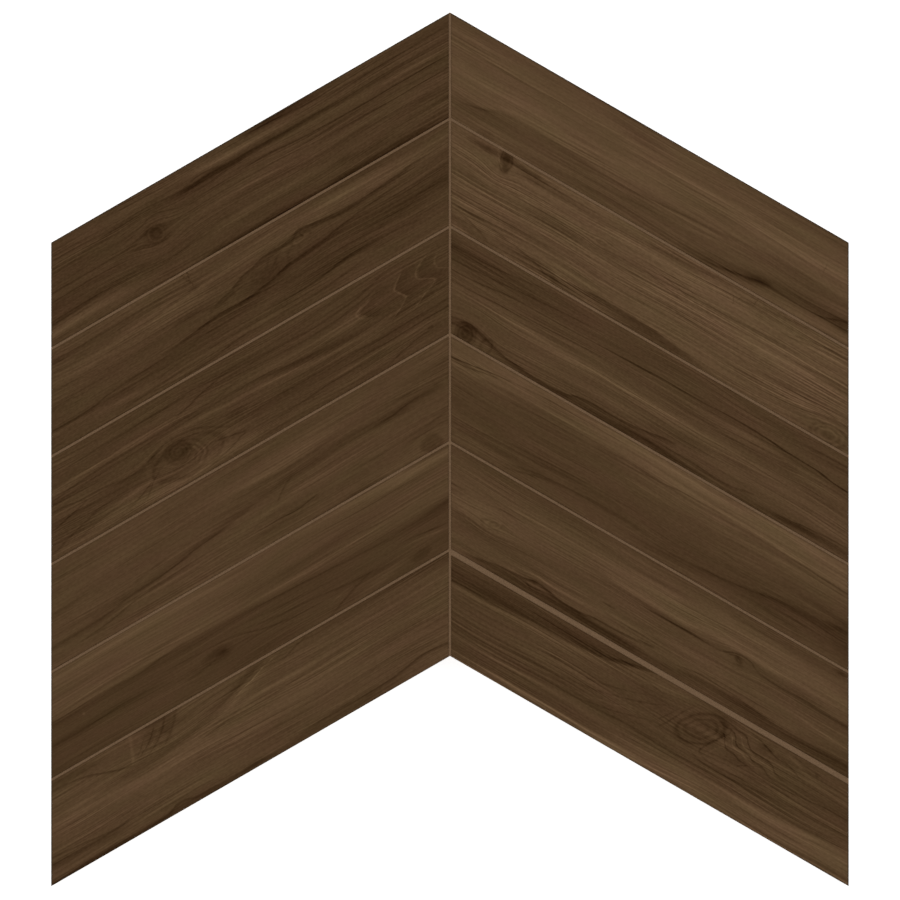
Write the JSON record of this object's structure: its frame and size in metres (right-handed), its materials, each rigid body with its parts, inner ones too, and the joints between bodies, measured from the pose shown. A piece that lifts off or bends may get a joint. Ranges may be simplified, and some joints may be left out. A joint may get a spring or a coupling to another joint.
{
  "type": "wood-look porcelain chevron mosaic sheet",
  "caption": "Arrow-shaped sheet of slanting wood-look porcelain planks with filled joints on a backing net, bonded to a floor or wall so that its point nests in the next sheet's tail.",
  "frame": {"origin": "under the middle of the sheet's outline, on the underside of the backing net", "axes": "+Z out of the printed faces, +Y along the centre seam towards the point, +X across the sheet to the right as seen from above"},
  "size_m": [0.376, 0.412, 0.0096],
  "materials": {
    "plank_porcelain": "matt dark walnut print on the face, grey-beige porcelain body at the sides and back",
    "joint_filler": "light brown, fine sanded, matt",
    "net": "white glass-fibre net set in clear glue"
  },
  "bodies": {
    "root": {"plank_left_1": "plank_porcelain", "plank_left_2": "plank_porcelain", "plank_left_3": "plank_porcelain", "plank_left_4": "plank_porcelain", "plank_left_5": "plank_porcelain", "plank_left_6": "plank_porcelain", "plank_right_1": "plank_porcelain", "plank_right_2": "plank_porcelain", "plank_right_3": "plank_porcelain", "plank_right_4": "plank_porcelain", "plank_right_5": "plank_porcelain", "plank_right_6": "plank_porcelain", "joint_fill": "joint_filler", "backing_net": "net"}
  },
  "joints": []
}
